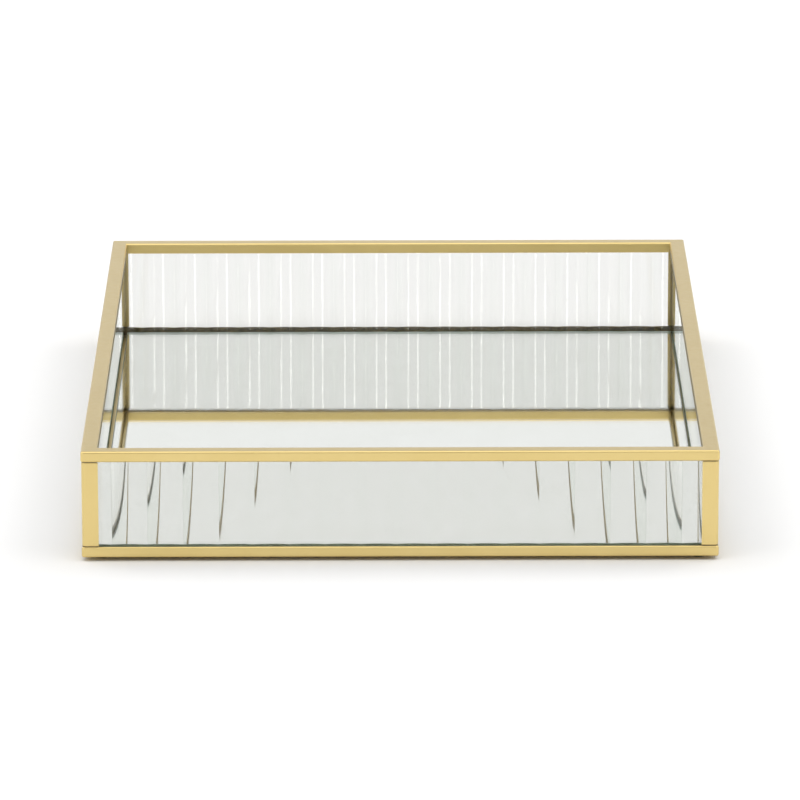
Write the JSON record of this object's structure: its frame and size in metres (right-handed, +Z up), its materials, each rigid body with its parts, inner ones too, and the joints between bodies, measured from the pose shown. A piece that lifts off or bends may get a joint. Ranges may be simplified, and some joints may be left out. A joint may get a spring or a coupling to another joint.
{
  "type": "dresser vanity tray",
  "caption": "Rectangular vanity tray with a mirror base, low glass walls, ribbed at the front and back, and a satin gold metal frame, on small corner pads.",
  "frame": {"origin": "on the floor under the pads, in the middle of the tray", "axes": "+X across the short sides, +Y along the long sides towards the back, +Z up"},
  "size_m": [0.229, 0.305, 0.041],
  "materials": {
    "satin_gold": "satin, fine grain, lacquered",
    "solder": "dull, darkened",
    "ribbed_glass": "clear, with hollow flutes on the outside, green at the edges",
    "plain_glass": "clear and flat, green at the edges",
    "bedding": "clear, soft",
    "mirror_glass": "polished, green at the edges",
    "mirror_backing": "silver seen through the glass, painted underneath",
    "pad": "matte, fine felt nap"
  },
  "bodies": {
    "root": {"rim_front": "satin_gold", "rim_back": "satin_gold", "rim_left": "satin_gold", "rim_right": "satin_gold", "post_front_left": "satin_gold", "post_front_right": "satin_gold", "post_back_left": "satin_gold", "post_back_right": "satin_gold", "base_rail_front": "satin_gold", "base_rail_back": "satin_gold", "base_rail_left": "satin_gold", "base_rail_right": "satin_gold", "rim_solder": "solder", "base_solder": "solder", "glass_front": "ribbed_glass", "glass_back": "ribbed_glass", "glass_left": "plain_glass", "glass_right": "plain_glass", "bedding_front": "bedding", "bedding_back": "bedding", "bedding_left": "bedding", "bedding_right": "bedding", "mirror_glass": "mirror_glass", "mirror_backing": "mirror_backing", "pad_front_left": "pad", "pad_front_right": "pad", "pad_back_left": "pad", "pad_back_right": "pad"}
  },
  "joints": []
}
